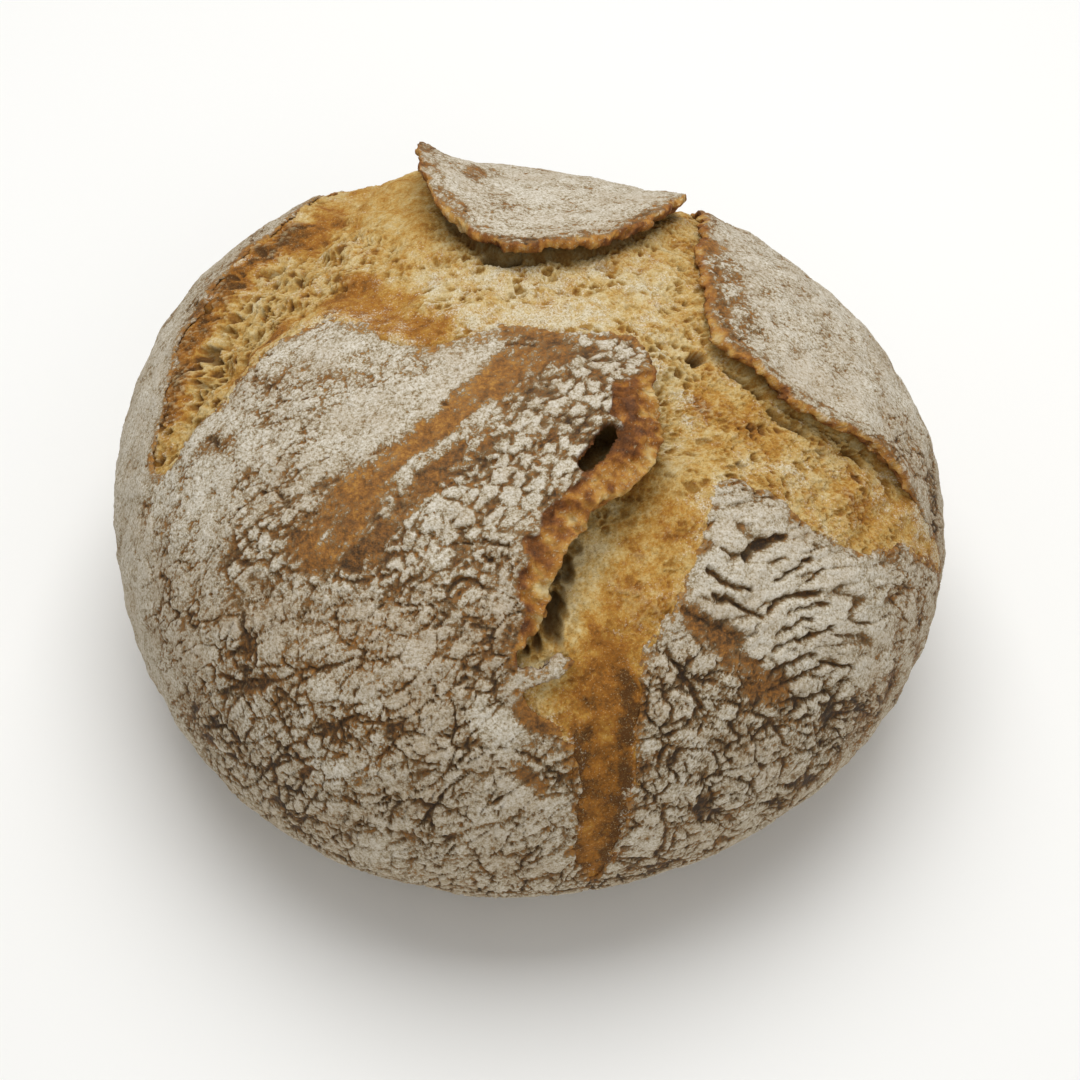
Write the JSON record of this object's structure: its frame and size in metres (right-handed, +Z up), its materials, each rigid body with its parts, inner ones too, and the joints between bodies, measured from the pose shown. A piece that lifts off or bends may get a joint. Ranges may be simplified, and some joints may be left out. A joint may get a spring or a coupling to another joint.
{
  "type": "round crusty loaf",
  "caption": "Round hand-shaped loaf of bread with a floured crust, cut crosswise and torn open into lifted ears over the open crumb.",
  "frame": {"origin": "middle of the loaf's box on the plane it rests on", "axes": "+Z up from the flat base to the crown, -Y towards the end of the longest cut, +X to the right of a viewer who looks along +Y"},
  "size_m": [0.2014, 0.1998, 0.1113],
  "materials": {
    "crust": "baked wheat crust, golden brown under a dry dusting of pale flour, matt and rough",
    "crumb": "torn open crumb toasted golden, matt, fuzzy and full of small pores"
  },
  "bodies": {
    "root": {"loaf": "crust"}
  },
  "joints": []
}
